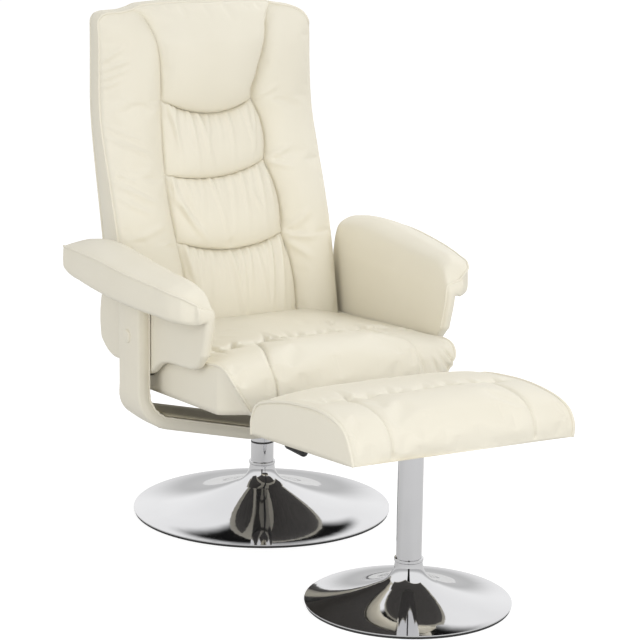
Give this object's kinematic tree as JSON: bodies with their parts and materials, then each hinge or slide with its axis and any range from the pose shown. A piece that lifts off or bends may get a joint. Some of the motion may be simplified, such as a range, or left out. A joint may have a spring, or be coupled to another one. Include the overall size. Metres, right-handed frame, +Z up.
{
  "type": "swivel recliner with footstool",
  "caption": "Leather swivel recliner with rolled arms, channelled back and chromed trumpet base, with a matching swivel footstool.",
  "frame": {"origin": "on the floor, on the axis of the chair's column", "axes": "+Z up, the chair faces -Y towards the footstool, +X to the sitter's left"},
  "size_m": [0.768, 1.1525, 1.042],
  "materials": {
    "leather": "soft cream leather",
    "chrome": "polished",
    "rubber": "matt black",
    "steel": "black painted steel",
    "bush": "natural nylon",
    "wood": "raw birch plywood",
    "webbing": "black woven cloth",
    "black": "black moulded plastic"
  },
  "bodies": {
    "base": {"chair_base": "chrome", "chair_ground_plate": "steel", "chair_foot_mat": "rubber", "chair_column": "chrome", "chair_collar": "chrome", "chair_bush": "black", "stool_base": "chrome", "stool_ground_plate": "steel", "stool_foot_mat": "rubber", "stool_column": "chrome", "stool_collar": "chrome", "stool_bush": "black"},
    "cradle": {"chair_spindle": "chrome", "top_plate": "chrome", "plate_bolts": "steel", "cradle_strap": "steel", "cradle_cover": "leather", "pivot_bush_left": "bush", "pivot_bush_right": "bush", "arm_pad_left": "leather", "arm_pad_right": "leather", "arm_core_left": "wood", "arm_core_right": "wood", "arm_bolts_left": "steel", "arm_bolts_right": "steel", "arm_cap_left": "leather", "arm_cap_right": "leather"},
    "knob": {"tension_rod": "steel", "tension_knob": "black"},
    "seat": {"seat_frame": "wood", "seat_webbing": "webbing", "seat_liner": "webbing", "seat_cushion": "leather", "pivot_bolt_left": "steel", "pivot_bolt_right": "steel", "pivot_spacer_left": "steel", "pivot_spacer_right": "steel", "back_bracket_left": "steel", "back_bracket_right": "steel", "back_bolster_left": "leather", "back_bolster_right": "leather", "back_board": "wood", "back_pad": "leather", "head_pillow": "leather", "back_panel_low": "leather", "back_panel_mid": "leather", "back_panel_top": "leather"},
    "stool_top": {"stool_spindle": "chrome", "stool_plate": "steel", "stool_screws": "steel", "stool_board": "wood", "stool_cushion": "leather"}
  },
  "joints": [
    {"name": "swivel", "type": "hinge", "parent": "base", "child": "cradle", "pos_m": [0, 0, 0.15], "axis": [0, 0, 1], "continuous": true},
    {"name": "recline", "type": "hinge", "parent": "cradle", "child": "seat", "pos_m": [0, -0.005, 0.335], "axis": [-1, 0, 0], "range_deg": [0, 18]},
    {"name": "tension", "type": "hinge", "parent": "cradle", "child": "knob", "pos_m": [0, -0.1, 0.168], "axis": [0, -1, 0], "range_deg": [-360, 360]},
    {"name": "stool_swivel", "type": "hinge", "parent": "base", "child": "stool_top", "pos_m": [-0.03, -0.641, 0.29], "axis": [0, 0, 1], "continuous": true}
  ]
}
